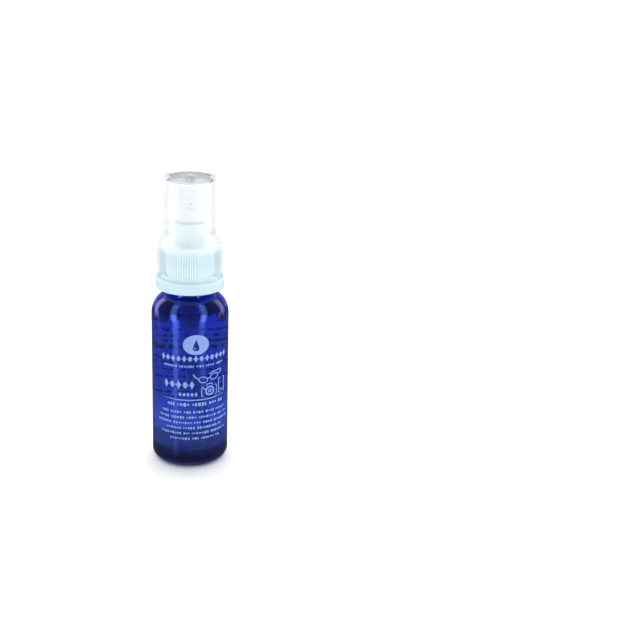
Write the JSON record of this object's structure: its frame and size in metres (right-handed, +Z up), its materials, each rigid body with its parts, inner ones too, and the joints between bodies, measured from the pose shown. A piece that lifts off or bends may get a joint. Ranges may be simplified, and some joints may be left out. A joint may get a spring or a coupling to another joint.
{
  "type": "lens cleaning spray",
  "caption": "Small filled translucent blue spray bottle with a ribbed white screw closure, press-down spray actuator and stepped clear overcap.",
  "frame": {"origin": "centre of the base, on the plane of the foot ring", "axes": "+Z up along the bottle's axis; the spray orifice and the front print face -Y"},
  "size_m": [0.0288, 0.0288, 0.1104],
  "materials": {
    "blue_pet": "gloss",
    "cleaning_liquid": "gloss",
    "white_pp": "satin",
    "foam_gasket": "matte",
    "natural_pp": "satin",
    "white_acetal": "satin",
    "piston_pe": "satin",
    "stainless": "satin",
    "natural_pe": "satin",
    "clear_pp": "gloss"
  },
  "bodies": {
    "bottle": {"bottle": "blue_pet", "cleaning_fluid": "cleaning_liquid"},
    "pump": {"pump_housing": "natural_pp", "pump_cap": "natural_pp", "gasket": "foam_gasket", "dip_tube": "natural_pe", "return_spring": "stainless"},
    "closure": {"closure": "white_pp"},
    "overcap": {"overcap": "clear_pp"},
    "stem": {"stem": "white_acetal", "piston": "piston_pe"},
    "actuator": {"actuator": "white_pp", "nozzle_insert": "white_acetal"},
    "valve_pin": {"valve_pin": "white_acetal"},
    "inlet_ball": {"inlet_ball": "stainless"}
  },
  "joints": [
    {"name": "pump_rise", "type": "slide", "parent": "bottle", "child": "pump", "axis": [0, 0, 1], "range_m": [0, 0.00476], "deforming": ["cleaning_fluid"]},
    {"name": "closure_turn", "type": "hinge", "parent": "pump", "child": "closure", "pos_m": [0, 0, 0.075], "axis": [0, 0, 1], "range_deg": [0, 540]},
    {"name": "overcap_lift", "type": "slide", "parent": "closure", "child": "overcap", "axis": [0, 0, 1], "range_m": [0, 0.045]},
    {"name": "actuator_press", "type": "slide", "parent": "pump", "child": "stem", "axis": [0, 0, -1], "range_m": [0, 0.005], "stiffness_N_per_m": 1200, "springref_m": -0.004, "deforming": ["return_spring"]},
    {"name": "actuator_turn", "type": "hinge", "parent": "stem", "child": "actuator", "pos_m": [0, 0, 0.0933], "axis": [0, 0, 1], "continuous": true},
    {"name": "valve_open", "type": "slide", "parent": "stem", "child": "valve_pin", "axis": [0, 0, -1], "range_m": [0, 0.0004], "stiffness_N_per_m": 500, "springref_m": -0.001},
    {"name": "inlet_ball_lift", "type": "slide", "parent": "pump", "child": "inlet_ball", "axis": [0, 0, 1], "range_m": [0, 0.0009]}
  ],
  "couplings": [
    {"joint": "closure_turn", "follows": "pump_rise", "rad_per_m": 1979}
  ]
}
